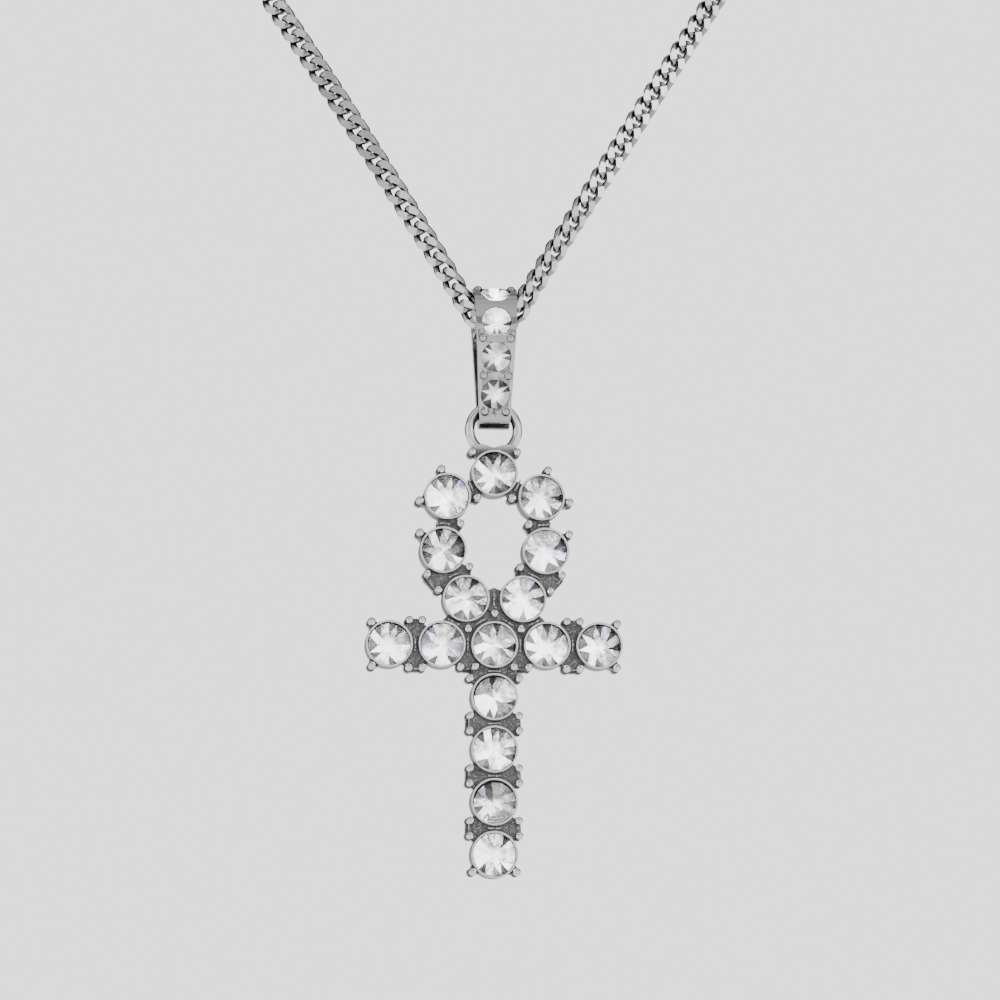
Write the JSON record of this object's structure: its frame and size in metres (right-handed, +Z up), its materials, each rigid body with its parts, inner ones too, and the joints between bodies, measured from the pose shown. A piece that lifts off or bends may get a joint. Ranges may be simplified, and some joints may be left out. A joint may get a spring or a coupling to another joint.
{
  "type": "ankh pendant on a chain",
  "caption": "Silver ankh set with round clear stones in cups with ball prongs, hung by a ring from a stone-set bail on a curb chain.",
  "frame": {"origin": "middle of the clasp at the back of the chain, where it rests on the nape of the neck", "axes": "+Z up, -Y towards the front of the ankh, +X to the right as seen from the front"},
  "size_m": [0.1168, 0.1169, 0.1672],
  "materials": {
    "cast_silver": "cast, satin",
    "bright_silver": "polished",
    "chain_silver": "polished",
    "crystal": "cut and polished"
  },
  "bodies": {
    "chain": {"chain": "chain_silver", "clasp": "bright_silver"},
    "bail": {"bail": "bright_silver", "bail_stone_1": "crystal", "bail_stone_2": "crystal", "bail_stone_3": "crystal", "bail_stone_4": "crystal"},
    "ankh": {"ankh_frame": "cast_silver", "stone_1": "crystal", "stone_2": "crystal", "stone_3": "crystal", "stone_4": "crystal", "stone_5": "crystal", "stone_6": "crystal", "stone_7": "crystal", "stone_8": "crystal", "stone_9": "crystal", "stone_10": "crystal", "stone_11": "crystal", "stone_12": "crystal", "stone_13": "crystal", "stone_14": "crystal", "stone_15": "crystal", "stone_16": "crystal"}
  },
  "joints": [
    {"name": "bail_swing", "type": "hinge", "parent": "chain", "child": "bail", "pos_m": [0, -0.112, -0.1174], "axis": [1, 0, 0], "range_deg": [-60, 60]},
    {"name": "ankh_swing", "type": "hinge", "parent": "bail", "child": "ankh", "pos_m": [0, -0.112, -0.12542], "axis": [1, 0, 0], "range_deg": [-45, 45]}
  ]
}
